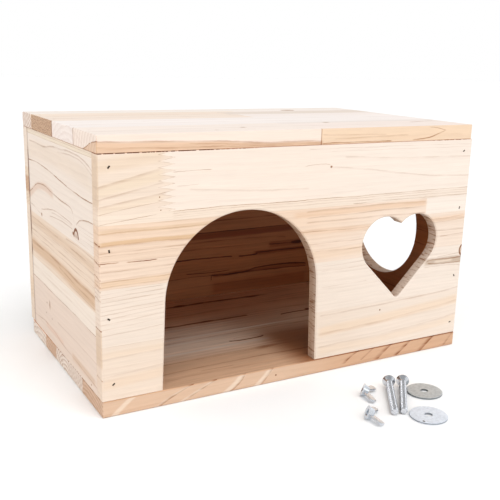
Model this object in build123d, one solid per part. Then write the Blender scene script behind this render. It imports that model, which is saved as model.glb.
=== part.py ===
from build123d import *
import os
from math import acos, atan, atan2, cos, degrees, hypot, radians, sin, sqrt

# A wooden hideout for hamsters and its loose mounting kit.
#
# The house is a box of six edge-glued softwood boards, butt-jointed and held with brad nails. The
# floor and the roof cover the whole footprint, the front and back boards stand on the floor across
# the ends of the side boards. The kit lies in front: two countersunk screws, two wide washers and
# two wing nuts, which hang the house on a cage wall through two holes in its back board.
#
# Frame: millimetres, +Z up, the front faces -Y, +X is to the right seen from the front. The origin
# is the centre of the floor board's underside.

# ---- house, driving dimensions ----
house_width = 300.0
house_depth = 180.0
house_height = 180.0
floor_board = 11.0
roof_board = 11.0
side_board = 11.0
front_board = 10.0
back_board = 11.0
roof_shortfall = 1.4            # the roof stops this far from the front board's right end
floor_corner_radius = 6.0       # the floor's two rear corners are sanded round
edge_break = 0.4                # every sawn edge is broken with sandpaper
rim_break = 0.8                 # and the rims that an animal climbs through a little more

# ---- doorway in the front board ----
door_from_left = 102.0          # left end of the house to the door's centre
door_foot_width = 120.5         # the jambs lean out a little towards the floor
door_height = 117.0
door_crown_radius = 58.5

# ---- heart window in the front board ----
window_from_right = 64.0        # right end of the house to the heart's centre line
window_above_floor = 67.0       # floor top to the centre of the heart's square
window_square = 42.0            # side of the square that carries the two lobes
window_point_radius = 3.0

# ---- round side entrance ----
side_hole_radius = 46.0
side_hole_above_floor = 76.5

# ---- hanging holes in the back board ----
hanging_hole_radius = 2.75
hanging_hole_spacing = 160.0
hanging_hole_below_roof = 29.0

# ---- brads, flat wire with a T head, shot in with a nail gun ----
brad_length = 28.0
brad_wire_width = 1.25
brad_wire_thickness = 1.1
brad_head_width = 2.1
brad_head_height = 0.9
brad_point_length = 1.8
brad_point_width = 0.3
brad_sink = 0.3                 # heads are set this far below the surface
brad_fit = 0.03                 # gap between a brad and its hole
wall_nail_count = 4
edge_nail_count = 4
long_edge_nail_count = 4
wall_nail_top_margin = 8.5
wall_nail_bottom_margin = 11.0
brad_clearance = 3.0            # between the brads that cross in a corner
long_edge_nail_margin = 17.5
# How each front brad strays, from the bottom up: towards the house's middle, up, and turned.
front_left_strays = ((2.2, 0.0, 40.0), (-0.1, -2.2, -35.0), (1.0, -4.8, 100.0), (1.7, 0.5, 50.0))
front_right_strays = ((0.1, -1.7, 15.0), (0.4, -8.2, -60.0), (1.3, 1.1, 80.0), (2.1, -0.5, 35.0))

# ---- mounting kit, M5 ----
screw_length = 45.0
screw_shank_radius = 2.45
screw_head_radius = 4.65
screw_head_rim = 0.35
screw_head_height = 2.7
screw_tip_chamfer = 0.6
recess_width = 1.05
recess_span = 4.8
recess_depth = 2.1

washer_radius = 12.5
washer_hole_radius = 2.65
washer_thickness = 1.2
washer_edge_break = 0.25

nut_base_radius = 4.5
nut_top_radius = 3.4
nut_boss_height = 4.0
nut_bore_radius = 2.1
nut_bore_chamfer = 0.5
nut_span = 24.0
nut_height = 10.0
wing_ear_radius = 2.5
wing_root_radius = 1.8
wing_root_offset = 2.6
wing_root_height = 2.3
wing_thickness = 1.6
wing_edge_break = 0.4

# ---- where the loose kit lies: across, and out from the front face; headings from +X ----
left_screw_head = (47.2, -43.0)
left_screw_heading = -124.0
right_screw_head = (56.6, -46.9)
right_screw_heading = -129.0
front_washer_centre = (41.6, -91.1)
rear_washer_centre = (64.6, -61.2)
rear_nut_base = (21.4, -46.1)
rear_nut_heading = -38.0
front_nut_base = (2.6, -75.6)
front_nut_heading = -27.0

# ---- levels and faces that follow ----
left_end = -house_width / 2
right_end = house_width / 2
front_face = -house_depth / 2
back_face = house_depth / 2
floor_top = floor_board
roof_bottom = house_height - roof_board
front_inner = front_face + front_board
back_inner = back_face - back_board
left_inner = left_end + side_board
right_inner = right_end - side_board
door_centre = left_end + door_from_left
window_centre = right_end - window_from_right
cut_overrun = 1.0               # cutting tools run this far past a face


def slab(x_low, x_high, y_low, y_high, z_low, z_high):
    """A plain board between two opposite corners."""
    box = Box(x_high - x_low, y_high - y_low, z_high - z_low, align=(Align.MIN, Align.MIN, Align.MIN))
    return Pos(x_low, y_low, z_low) * box


def front_view(y, x, z):
    """A sketch plane that faces the front, with its origin at x, z and its surface at y."""
    return Plane(origin=(x, y, z), x_dir=(1, 0, 0), z_dir=(0, -1, 0))


# ---- openings ----
def doorway():
    """An arch whose jambs run straight from the floor until they touch the round crown."""
    half_foot = door_foot_width / 2
    crown_height = door_height - door_crown_radius
    lean = acos(door_crown_radius / hypot(half_foot, crown_height)) - atan2(crown_height, half_foot)
    touch_x = door_crown_radius * cos(lean)
    touch_z = crown_height + door_crown_radius * sin(lean)
    below = -cut_overrun
    walls = Polyline((-touch_x, touch_z), (-half_foot, 0), (-half_foot, below),
                     (half_foot, below), (half_foot, 0), (touch_x, touch_z))
    crown = ThreePointArc((touch_x, touch_z), (0, door_height), (-touch_x, touch_z))
    outline = make_face(walls.edges() + crown.edges())
    plane = front_view(front_inner + cut_overrun, door_centre, floor_top)
    return extrude(plane * outline, amount=front_board + 2 * cut_overrun)


def heart_window():
    """A heart: a square stood on its corner, with a half round on each of its upper sides."""
    lobe = window_square / 2
    offset = lobe / sqrt(2)
    outline = Rot(0, 0, 45) * Rectangle(window_square, window_square)
    outline += Pos(offset, offset) * Circle(lobe)
    outline += Pos(-offset, offset) * Circle(lobe)
    point = outline.vertices().sort_by(Axis.Y)[0]
    outline = fillet(point, window_point_radius)
    plane = front_view(front_inner + cut_overrun, window_centre, floor_top + window_above_floor)
    return extrude(plane * outline, amount=front_board + 2 * cut_overrun)


def side_hole():
    """The round entrance, bored through the middle of the right side board."""
    middle = (front_inner + back_inner) / 2
    plane = Plane(origin=(right_inner - cut_overrun, middle, floor_top + side_hole_above_floor), z_dir=(1, 0, 0))
    return extrude(plane * Circle(side_hole_radius), amount=side_board + 2 * cut_overrun)


def hanging_holes():
    """Two clearance holes for the kit's screws, side by side under the roof."""
    height = roof_bottom - hanging_hole_below_roof
    holes = []
    for side in (-1, 1):
        plane = front_view(back_face + cut_overrun, side * hanging_hole_spacing / 2, height)
        holes.append(extrude(plane * Circle(hanging_hole_radius), amount=back_board + 2 * cut_overrun))
    return holes


# ---- boards ----
def floor_panel():
    panel = slab(left_end, right_end, front_face, back_face, 0, floor_board)
    uprights = panel.edges().filter_by(Axis.Z)
    panel = fillet(uprights.group_by(Axis.Y)[-1], floor_corner_radius)
    return chamfer(panel.edges(), edge_break)


def roof_panel():
    panel = slab(left_end, right_end - roof_shortfall, front_face, back_face, roof_bottom, house_height)
    return chamfer(panel.edges(), edge_break)


def with_eased_cutouts(board, cutters, thickness_axis):
    """Cuts openings through an eased board and breaks their rims on both of its faces."""
    kept = [edge.center() for edge in board.edges()]
    board = board - cutters
    faces = board.faces().filter_by(Plane.YZ if thickness_axis == Axis.X else Plane.XZ)
    faces = faces.sort_by(thickness_axis)
    rims = [edge for face in (faces[0], faces[-1]) for edge in face.edges()
            if floor_top + edge_break < edge.center().Z < roof_bottom - edge_break
            and all((edge.center() - place).length > edge_break for place in kept)]
    return chamfer(rims, rim_break)


def front_panel():
    panel = slab(left_end, right_end, front_face, front_inner, floor_top, roof_bottom)
    panel = chamfer(panel.edges(), edge_break)
    return with_eased_cutouts(panel, [doorway(), heart_window()], Axis.Y)


def back_panel():
    panel = slab(left_end, right_end, back_inner, back_face, floor_top, roof_bottom)
    return chamfer(panel.edges(), edge_break) - hanging_holes()


def left_side_panel():
    panel = slab(left_end, left_inner, front_inner, back_inner, floor_top, roof_bottom)
    return chamfer(panel.edges(), edge_break)


def right_side_panel():
    panel = slab(right_inner, right_end, front_inner, back_inner, floor_top, roof_bottom)
    panel = chamfer(panel.edges(), edge_break)
    return with_eased_cutouts(panel, [side_hole()], Axis.X)


# ---- brads ----
def brad(fit=0.0, lead=0.0):
    """A flat-wire brad that points down from z = 0. Widened by a fit and led out, it is its own hole."""
    head = brad_head_width / 2 + fit
    wire = brad_wire_width / 2 + fit
    point = brad_point_width / 2 + fit
    neck = -brad_head_height - fit
    shoulder = -brad_length + brad_point_length
    end = -brad_length - fit
    outline = Polyline((-head, lead), (-head, neck), (-wire, neck), (-wire, shoulder), (-point, end),
                       (point, end), (wire, shoulder), (wire, neck), (head, neck), (head, lead), close=True)
    return extrude(Plane.XZ * make_face(outline), amount=brad_wire_thickness / 2 + fit, both=True)


def spread(low, high, count):
    """Evenly spaced places from low to high, both included."""
    return [low + (high - low) * i / (count - 1) for i in range(count)]


def wall_nails(side, y, facing, strays=()):
    """Brads in a row up one end of the front or back board, over the side board's middle."""
    heights = spread(floor_top + wall_nail_bottom_margin, roof_bottom - wall_nail_top_margin, wall_nail_count)
    places = []
    for i, height in enumerate(heights):
        inward, up, turn = strays[i] if i < len(strays) else (0.0, 0.0, 0.0)
        across = side * (house_width / 2 - side_board / 2 - inward)
        surface = Plane(origin=(across, y, height + up), x_dir=(1, 0, 0), z_dir=(0, facing, 0))
        places.append(surface.location * Rot(0, 0, turn))
    return places


def side_edge_nails(side, z, facing):
    """Brads in a row over the top or under the bottom edge of a side board."""
    across = side * (house_width / 2 - side_board / 2)
    first = front_face + brad_length + brad_clearance
    last = back_face - brad_length - brad_clearance
    depths = spread(first, last, edge_nail_count)
    return [Plane(origin=(across, y, z), x_dir=(0, 1, 0), z_dir=(0, 0, facing)).location for y in depths]


def long_edge_nails(y):
    """Brads up through the floor into the front or back board, clear of the doorway."""
    door_left = door_centre - door_foot_width / 2
    door_right = door_centre + door_foot_width / 2
    right_row = spread(door_right + long_edge_nail_margin, right_inner - long_edge_nail_margin,
                       long_edge_nail_count - 1)
    across = [(left_inner + door_left) / 2] + right_row
    return [Plane(origin=(x, y, 0), x_dir=(1, 0, 0), z_dir=(0, 0, -1)).location for x in across]


nail_rows = {
    "front_nails_left": wall_nails(-1, front_face, -1, front_left_strays),
    "front_nails_right": wall_nails(1, front_face, -1, front_right_strays),
    "back_nails_left": wall_nails(-1, back_face, 1),
    "back_nails_right": wall_nails(1, back_face, 1),
    "roof_nails_left": side_edge_nails(-1, house_height, 1),
    "roof_nails_right": side_edge_nails(1, house_height, 1),
    "floor_nails_left": side_edge_nails(-1, 0, -1),
    "floor_nails_right": side_edge_nails(1, 0, -1),
    "floor_nails_front": long_edge_nails((front_face + front_inner) / 2),
    "floor_nails_back": long_edge_nails((back_face + back_inner) / 2),
}

# Each board, and the nail rows that pass through it or end in it.
boards = {
    "floor_panel": (floor_panel, ("floor_nails_left", "floor_nails_right",
                                  "floor_nails_front", "floor_nails_back")),
    "roof_panel": (roof_panel, ("roof_nails_left", "roof_nails_right")),
    "front_panel": (front_panel, ("front_nails_left", "front_nails_right", "floor_nails_front")),
    "back_panel": (back_panel, ("back_nails_left", "back_nails_right", "floor_nails_back")),
    "left_side_panel": (left_side_panel, ("front_nails_left", "back_nails_left",
                                          "roof_nails_left", "floor_nails_left")),
    "right_side_panel": (right_side_panel, ("front_nails_right", "back_nails_right",
                                            "roof_nails_right", "floor_nails_right")),
}


# ---- mounting kit ----
def lay(solid):
    """Lowers or lifts a solid until it rests on the ground."""
    return Pos(0, 0, -solid.bounding_box().min.Z) * solid


def on_ground(place):
    """A point of the ground plane, from across and out-from-the-front."""
    across, out = place
    return (across, front_face + out, 0)


def cross_recess():
    """The drive recess: two crossed slots that narrow towards the bottom."""
    cross = Rectangle(recess_span, recess_width) + Rectangle(recess_width, recess_span)
    return extrude(cross, amount=recess_depth, taper=10)


def screw_blank():
    """A countersunk screw, its head's flat top at z = 0 and its shank along +Z."""
    tip_radius = screw_shank_radius - screw_tip_chamfer
    outline = Polyline((0, 0), (screw_head_radius, 0), (screw_head_radius, screw_head_rim),
                       (screw_shank_radius, screw_head_height),
                       (screw_shank_radius, screw_length - screw_tip_chamfer),
                       (tip_radius, screw_length), (0, screw_length), close=True)
    return revolve(Plane.XZ * make_face(outline), Axis.Z) - cross_recess()


def lying_screw(head_place, heading):
    """A screw that rests on its head's rim and its tip, pointing along the heading."""
    slope = atan((screw_head_radius - screw_shank_radius) / (screw_length - screw_tip_chamfer))
    ahead = radians(heading)
    axis = (cos(ahead) * cos(slope), sin(ahead) * cos(slope), -sin(slope))
    return lay(Plane(origin=on_ground(head_place), z_dir=axis).location * screw_blank())


def lying_washer(place):
    ring = Cylinder(washer_radius, washer_thickness) - Cylinder(washer_hole_radius, washer_thickness)
    outer_rims = ring.edges().filter_by(GeomType.CIRCLE).group_by(SortBy.RADIUS)[-1]
    ring = chamfer(outer_rims, washer_edge_break)
    return lay(Pos(*on_ground(place)) * ring)


def wing(side):
    """One wing: a flat plate from the boss out to a round ear, its edges broken."""
    ear = Pos(side * (nut_span / 2 - wing_ear_radius), nut_height - wing_ear_radius) * Circle(wing_ear_radius)
    root = Pos(side * wing_root_offset, wing_root_height) * Circle(wing_root_radius)
    outline = make_hull(ear.edges() + root.edges())
    plate = extrude(Plane.XZ * outline, amount=wing_thickness / 2, both=True)
    rims = plate.faces().sort_by(Axis.Y)[0].edges() + plate.faces().sort_by(Axis.Y)[-1].edges()
    return chamfer(rims, wing_edge_break)


def wing_nut_blank():
    """A wing nut that stands on its flat base at z = 0, with its wings along X."""
    boss = Cone(nut_base_radius, nut_top_radius, nut_boss_height, align=(Align.CENTER, Align.CENTER, Align.MIN))
    bore = Cylinder(nut_bore_radius, nut_height, align=(Align.CENTER, Align.CENTER, Align.MIN))
    mouth = Cone(nut_bore_radius + nut_bore_chamfer, nut_bore_radius, nut_bore_chamfer,
                 align=(Align.CENTER, Align.CENTER, Align.MIN))
    top_mouth = Pos(0, 0, nut_boss_height) * Rot(180, 0, 0) * mouth
    return boss + wing(-1) + wing(1) - bore - mouth - top_mouth


def lying_wing_nut(base_place, heading):
    """A wing nut tipped on its side, resting on its base's rim and on both wing tips."""
    droop = degrees(atan((nut_base_radius - wing_thickness / 2) / nut_height))
    quarter_turn = 90.0
    tipped = Rot(quarter_turn + droop, 0, 0) * wing_nut_blank()
    turned = Rot(0, 0, heading + quarter_turn) * tipped
    return lay(Pos(*on_ground(base_place)) * turned)


# ---- the whole set ----
def nailed(make_board, rows):
    """A board with a hole for each brad of the rows that enter it."""
    hole = Pos(0, 0, -brad_sink) * brad(brad_fit, brad_sink + cut_overrun)
    return make_board() - [place * hole for row in rows for place in nail_rows[row]]


def build():
    """Every node's name with its list of solids."""
    nodes = {name: [nailed(make_board, rows)] for name, (make_board, rows) in boards.items()}
    for row, places in nail_rows.items():
        nodes[row] = [place * Pos(0, 0, -brad_sink) * brad() for place in places]
    nodes["mounting_screw_left"] = [lying_screw(left_screw_head, left_screw_heading)]
    nodes["mounting_screw_right"] = [lying_screw(right_screw_head, right_screw_heading)]
    nodes["wide_washer_front"] = [lying_washer(front_washer_centre)]
    nodes["wide_washer_rear"] = [lying_washer(rear_washer_centre)]
    nodes["wing_nut_rear"] = [lying_wing_nut(rear_nut_base, rear_nut_heading)]
    nodes["wing_nut_front"] = [lying_wing_nut(front_nut_base, front_nut_heading)]
    return nodes


os.makedirs("parts", exist_ok=True)
for name, shapes in build().items():
    solids = [solid for shape in shapes for solid in shape.solids()]
    node = solids[0] if len(solids) == 1 else Compound(children=solids)
    node.label = name
    export_step(node, f"parts/{name}.step")
    print(name, len(solids), round(sum(solid.volume for solid in solids), 1))
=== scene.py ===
"""Looks of the wooden hamster house: bare softwood boards and a small zinc-plated mounting kit."""

import math
from collections import namedtuple

import bmesh
import bpy
from mathutils import Matrix, Vector


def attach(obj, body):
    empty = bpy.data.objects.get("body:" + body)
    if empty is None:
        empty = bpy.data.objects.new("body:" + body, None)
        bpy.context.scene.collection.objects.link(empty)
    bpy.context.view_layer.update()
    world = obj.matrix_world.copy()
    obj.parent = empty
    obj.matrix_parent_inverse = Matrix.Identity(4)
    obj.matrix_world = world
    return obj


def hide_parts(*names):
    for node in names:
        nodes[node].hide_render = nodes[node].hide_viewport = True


MM = 0.001

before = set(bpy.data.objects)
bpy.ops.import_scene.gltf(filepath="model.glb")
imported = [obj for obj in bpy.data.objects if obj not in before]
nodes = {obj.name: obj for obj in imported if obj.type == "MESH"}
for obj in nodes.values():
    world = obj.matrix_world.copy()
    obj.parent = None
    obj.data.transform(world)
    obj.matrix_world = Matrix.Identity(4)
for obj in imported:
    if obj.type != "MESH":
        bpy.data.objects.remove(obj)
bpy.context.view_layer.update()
scene = bpy.context.scene


# ---- shader helpers
def linear(colour):
    """An sRGB colour, 0 to 255, as linear numbers with alpha."""
    return tuple(((c / 255 + 0.055) / 1.055) ** 2.4 if c > 10 else c / 3294.6 for c in colour) + (1.0,)


def add_node(tree, kind, values, output=0, **settings):
    """One output of a new node whose inputs, by number or name, get these values."""
    node = tree.nodes.new("ShaderNode" + kind)
    for key, value in settings.items():
        setattr(node, key, value)
    for key, value in values.items():
        feed(tree, node.inputs[key], value)
    return node.outputs[output]


def feed(tree, socket, value):
    if isinstance(value, bpy.types.NodeSocket):
        tree.links.new(value, socket)
    else:
        socket.default_value = value


class Shader:
    """A material and short calls that add its nodes. An argument may be a socket, a number or a tuple."""

    def __init__(self, name):
        self.material = bpy.data.materials.new(name)
        self.material.use_nodes = True
        self.tree = self.material.node_tree
        self.tree.nodes.clear()
        self.surface = self.node("BsdfPrincipled", {}).node
        output = self.tree.nodes.new("ShaderNodeOutputMaterial")
        feed(self.tree, output.inputs["Surface"], self.surface.outputs["BSDF"])
        self.coordinates = self.node("TexCoord", {}).node.outputs

    def give(self, name, value):
        """Sets one input of the surface."""
        feed(self.tree, self.surface.inputs[name], value)

    def node(self, kind, values, output=0, **settings):
        return add_node(self.tree, kind, values, output, **settings)

    def math(self, operation, *values):
        return self.node("Math", dict(enumerate(values)), operation=operation)

    def chain(self, operation, values):
        """The operation on the first two values, then on that and the third, and so on."""
        result = values[0]
        for value in values[1:]:
            result = self.math(operation, result, value)
        return result

    def times(self, *values):
        return self.chain("MULTIPLY", values)

    def plus(self, *values):
        return self.chain("ADD", values)

    def minus(self, value, amount):
        return self.math("SUBTRACT", value, amount)

    def times_plus(self, value, factor, amount):
        return self.math("MULTIPLY_ADD", value, factor, amount)

    def scaled(self, vector, factor):
        return self.node("VectorMath", {"Vector": vector, "Scale": factor}, "Vector", operation="SCALE")

    def combine(self, x, y, z=0.0):
        return self.node("CombineXYZ", {"X": x, "Y": y, "Z": z})

    def separate(self, vector):
        return self.node("SeparateXYZ", {0: vector}).node.outputs

    def length(self, x, y):
        """How far x and y together are from zero."""
        return self.node("VectorMath", {"Vector": self.combine(x, y)}, "Value", operation="LENGTH")

    def millimetres(self):
        """The object's own coordinates, in mm."""
        return self.scaled(self.coordinates["Object"], 1 / MM)

    def ramp(self, value, low, high, start=0.0, end=1.0, smooth=True):
        """start at and below low, end at and above high."""
        return self.node("MapRange", dict(enumerate((value, low, high, start, end))),
                         interpolation_type="SMOOTHSTEP" if smooth else "LINEAR")

    def fall(self, value, low, high):
        """1 at and below low, 0 at and above high."""
        return self.ramp(value, low, high, 1.0, 0.0)

    def hump(self, value, rise, fall):
        """Rises from 0 to 1 over the range rise, and falls back over the range fall."""
        return self.times(self.ramp(value, *rise), self.fall(value, *fall))

    def close_to(self, value, place, inner, outer):
        """1 within inner of a place, 0 beyond outer."""
        return self.fall(self.math("ABSOLUTE", self.minus(value, place)), inner, outer)

    def noise(self, place, scale=1.0, detail=2.0, roughness=0.5):
        values = {"Vector": place, "Scale": scale, "Detail": detail, "Roughness": roughness}
        return self.node("TexNoise", values)

    def chance(self, number):
        return self.node("TexWhiteNoise", {"W": number}, "Value", noise_dimensions="1D")

    def mix(self, factor, first, second, blend="MIX"):
        return self.node("Mix", {0: factor, 6: first, 7: second}, 2, data_type="RGBA", blend_type=blend)

    def mix_vector(self, factor, first, second):
        return self.node("Mix", {0: factor, 4: first, 5: second}, 1, data_type="VECTOR")

    def tinted(self, factor, colour, tint):
        """The colour, multiplied by the tint as far as factor says."""
        return self.mix(factor, colour, self.mix(1.0, colour, tint, "MULTIPLY"))

    def curve(self, value, points):
        """A smooth line through points (along, across), read at value."""
        along = [point[0] for point in points]
        across = [point[1] for point in points]
        low, high = min(across), max(across) + 0.01
        height = self.node("FloatCurve", {"Value": self.ramp(value, along[0], along[-1], smooth=False)})
        curve = height.node.mapping.curves[0]
        for _ in points[2:]:
            curve.points.new(0.5, 0.5)
        for spot, a, c in zip(curve.points, along, across):
            spot.location = (a - along[0]) / (along[-1] - along[0]), (c - low) / (high - low)
        height.node.mapping.update()
        return self.times_plus(height, high - low, low)

    def bump(self, height, distance, strength=1.0):
        values = {"Height": height, "Distance": distance, "Strength": strength}
        self.give("Normal", self.node("Bump", values))


# ---- wood
WOOD_REFLECTANCE = 0.80         # how much of the light a board that photographs white gives back
LATEWOOD = linear((186, 152, 124))      # what a full-strength growth line multiplies the wood by
END_GRAIN = linear((253, 249, 246))
CUT_EDGE = (203, 172, 148)
# painted shade: the tint that darkens and reddens the faces inside the house
INSIDE_SHADE = linear((197, 137, 95))
FACE_REACH = 0.7                # mm from a face that still count as that face, so that its rims do too
INNER_REACH = 0.3               # the same for the faces that look into the house


# One strip of a glued-up board: its lower edge across the board, its colour, its ring spacing, the tree's
# centre across and through the board, how dark its rings are, and where it starts if it is end-jointed.
Stave = namedtuple("Stave", "low colour rings pith contrast start", defaults=(None,))


class Board:
    """A softwood board: staves with solid growth rings, and the marks drawn on their faces. In mm."""

    def __init__(self, name, along, across, through, staves, seed, light_gain=1.0):
        self.shader = s = Shader(name)
        axes = dict(zip("xyz", s.separate(s.millimetres())))
        normals = dict(zip("xyz", s.separate(s.coordinates["Normal"])))
        self.axes = axes
        self.u = s.plus(axes[along[0]], along[1])
        self.v = s.plus(axes[across[0]], across[1])
        self.w = s.plus(axes[through[0]], through[1])
        self.end_grain = s.ramp(s.math("ABSOLUTE", normals[along[0]]), 0.55, 0.85)
        self.sawn = s.fall(s.math("ABSOLUTE", normals[through[0]]), 0.3, 0.6)
        self.seed = seed
        # A gain above 1 paints extra light on the whole board.
        self.light_gain = light_gain
        self.drawn_marks = 0.0
        self.slow = s.noise(self.stretched(0.006, 0.05, 0.05, 9.0), detail=2.0)
        self.stripes = s.noise(self.stretched(0.02, 0.45, 0.45, 2.0), detail=2.0)
        self.fibre = s.noise(self.stretched(0.05, 1.5, 1.5), detail=3.0, roughness=0.65)
        slow_wave = s.times_plus(s.noise(self.stretched(0.03, 0.05, 0.05, 3.0), detail=1.0), 1.8, -0.9)
        quick_wave = s.times_plus(s.noise(self.stretched(0.3, 0.4, 0.4, 4.0), detail=1.0), 0.5, -0.25)
        self.uneven = s.plus(slow_wave, quick_wave)
        self.drawn = s.plus(self.u, self.uneven)     # where a mark drawn at u really falls
        self.patchy = s.ramp(s.noise(self.stretched(0.045, 0.3, 0.3, 6.0), detail=2.0), 0.3, 0.65, 0.35, 1.15)
        self.lay_staves(staves)
        self.grow()

    def stretched(self, u, v, w, shift=0.0):
        """A place for a noise, each axis scaled by its own factor."""
        s = self.shader
        return s.combine(s.times_plus(self.u, u, self.seed + shift), s.times(self.v, v), s.times(self.w, w))

    def lay_staves(self, staves):
        """The colour, ring centre, ring spacing and contrast of the stave at each point."""
        s = self.shader
        colour = ring = facts = None
        for number, stave in enumerate(staves):
            own_colour = linear(stave.colour)
            own_ring = (stave.pith[0], stave.pith[1], stave.rings)
            own_facts = (stave.contrast, number * 7.3 + self.seed, 0.0)
            if colour is None:
                colour, ring, facts = own_colour, own_ring, own_facts
                continue
            here = s.math("GREATER_THAN", self.v, stave.low)
            if stave.start is not None:
                start = stave.start(self) if callable(stave.start) else stave.start
                here = s.times(here, s.math("GREATER_THAN", self.u, start))
            colour = s.mix(here, colour, own_colour)
            ring = s.mix_vector(here, ring, own_ring)
            facts = s.mix_vector(here, facts, own_facts)
        self.colour, self.ring, self.facts = colour, ring, facts

    def grow(self):
        """Growth rings round each stave's pith: pale early wood that darkens towards a sharp outer edge."""
        s = self.shader
        pith_v, pith_w, spacing = s.separate(self.ring)
        contrast, own, _ = s.separate(self.facts)
        drift = s.combine(s.times(self.u, 0.007), s.times_plus(self.v, 0.012, own), s.times(self.w, 0.012))
        wander = s.times_plus(s.noise(drift, detail=1.0), 12.0, -6.0)
        across = s.plus(s.minus(self.v, pith_v), wander)
        through = s.minus(self.w, pith_w)
        radius = s.length(across, through)
        count = s.math("DIVIDE", radius, spacing)
        count = s.plus(count, s.times(s.noise(self.stretched(0.03, 0.2, 0.2)), 0.6))
        year = s.math("FLOOR", count)
        season = s.math("FRACT", count)
        late = s.hump(season, (0.15, 0.88), (0.9, 1.0))
        vigour = s.ramp(s.chance(s.plus(year, own)), 0.0, 1.0, 0.2, 1.2, smooth=False)
        self.late = s.times(late, vigour, self.patchy)
        self.dark = s.times(self.late, contrast)
        light = s.times_plus(s.minus(self.fibre, 0.5), 0.17, 1.0)
        light = s.times_plus(s.minus(self.stripes, 0.5), 0.1, light)
        self.light = s.times_plus(s.minus(self.slow, 0.5), 0.08, light)

    # ---- marks
    def within(self, low, high, value=None, fade=2.5):
        """1 from low to high along the board, with soft ends."""
        s = self.shader
        value = self.drawn if value is None else value
        return s.hump(value, (low - fade / 2, low + fade / 2), (high - fade / 2, high + fade / 2))

    def offset(self, points, u=None, v=None):
        """How far a place lies above a smooth line through points (along, across)."""
        s = self.shader
        u = self.drawn if u is None else u
        v = s.plus(self.v if v is None else v, self.uneven)
        if len(points) == 2:
            (u0, v0), (u1, v1) = points
            slope = (v1 - v0) / (u1 - u0)
            middle = s.times_plus(u, slope, v0 - slope * u0)
        else:
            middle = s.curve(u, points)
        return s.minus(v, middle)

    def line(self, points, width, strength, soft=0.0, u=None, v=None, fade=2.5):
        """A growth line: a sharp upper edge, a core, and wood that pales away below it."""
        s = self.shader
        off = self.offset(points, u, v)
        body = s.hump(off, (-width / 2 - soft, 0.0), (0.0, width / 2))
        ends = self.within(points[0][0], points[-1][0], u, fade)
        self.mark(s.times(body, ends, self.patchy, strength))

    def band(self, points, width, fade=6.0, u=None, v=None):
        """1 along a broad soft-edged streak."""
        s = self.shader
        off = s.math("ABSOLUTE", self.offset(points, u, v))
        return s.times(s.fall(off, width * 0.2, width * 0.6),
                       self.within(points[0][0], points[-1][0], u, fade))

    def streak(self, points, width, strength, colour, face=1.0, fade=6.0):
        """A band of another colour, on one face of the board if face is given."""
        self.stain(self.shader.times(self.band(points, width, fade), face, strength), colour)

    def oval(self, u, v, radius_u, radius_v, across=None):
        """0 at the middle of an oval, 1 on its edge."""
        s = self.shader
        across = self.v if across is None else across
        return s.length(s.math("DIVIDE", s.minus(self.u, u), radius_u),
                        s.math("DIVIDE", s.minus(across, v), radius_v))

    def spot(self, u, v, radius_u, radius_v, strength, hard=0.1, across=None):
        """A small dark spot, such as a pin knot. Its edge fades from this share, hard, of its radii."""
        distance = self.oval(u, v, radius_u, radius_v, across)
        self.mark(self.shader.ramp(distance, hard, 1.0, strength, 0.0))

    def ringed_knot(self, u, v, radius_u, radius_v, strength):
        """A knot with a dark bark ring and a paler heart."""
        s = self.shader
        distance = self.oval(u, v, radius_u, radius_v)
        edge = s.hump(distance, (0.6, 0.85), (0.92, 1.15))
        heart = s.ramp(distance, 0.1, 0.9, 0.3, 0.0)
        self.mark(s.times(s.math("MAXIMUM", edge, heart), strength))

    def mark(self, value):
        """Adds a mark to those drawn so far."""
        self.drawn_marks = self.shader.plus(self.drawn_marks, value)

    def settle(self, face=1.0):
        """Darkens the wood where the marks drawn so far are, on one face of the board if face is given."""
        s = self.shader
        self.dark = s.times_plus(self.drawn_marks, face, self.dark)
        self.drawn_marks = 0.0

    def near(self, axis, place):
        """1 on the face at this place along a world axis."""
        return self.shader.math("COMPARE", self.axes[axis], place, FACE_REACH)

    def inner(self, axis, place, side):
        """1 on the face that looks into the house, on the side of place that side gives, 1 or -1."""
        s = self.shader
        return s.math("GREATER_THAN", s.times(self.axes[axis], side), place * side - INNER_REACH)

    def stain(self, factor, colour):
        """Tints the wood towards a colour where factor is over 0."""
        self.colour = self.shader.mix(factor, self.colour, linear(colour))

    def brown_openings(self, length, paler_from=None):
        """Sawn edges inside the board are browner, and growth lines cross them. The brown is half as
        strong beyond paler_from."""
        s = self.shader
        opening = s.times(self.sawn, self.within(12, length - 12))
        brown = s.ramp(self.w, 1.0, 8.0, 0.6, 1.1)
        if paler_from is not None:
            brown = s.times(brown, s.ramp(self.u, paler_from - 5, paler_from, 1.0, 0.5))
        self.stain(s.times(opening, brown), CUT_EDGE)
        rows = s.noise(s.combine(s.times(self.u, 0.02), s.times(self.v, 0.75), s.times(self.w, 0.09)),
                       detail=3.0, roughness=0.7)
        rows = s.times(s.ramp(rows, 0.5, 0.68), opening, 1.1)
        self.dark = s.plus(self.dark, rows)

    def seam(self, value, place, inner, outer, strength):
        """A dark line where two staves meet."""
        self.mark(self.shader.times(self.shader.close_to(value, place, inner, outer), strength))

    def gap(self, value, reach, start, end, seed, strength):
        """A broken line of painted shade under the roof, where two boards don't quite close."""
        s = self.shader
        dashes = s.ramp(s.noise(s.combine(s.times(self.u, 0.42), seed)), 0.42, 0.56)
        line = s.times(s.math("COMPARE", value, ROOF_UNDERSIDE, reach), dashes)
        self.mark(s.times(line, self.within(start, end, fade=16.0), strength))

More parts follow.
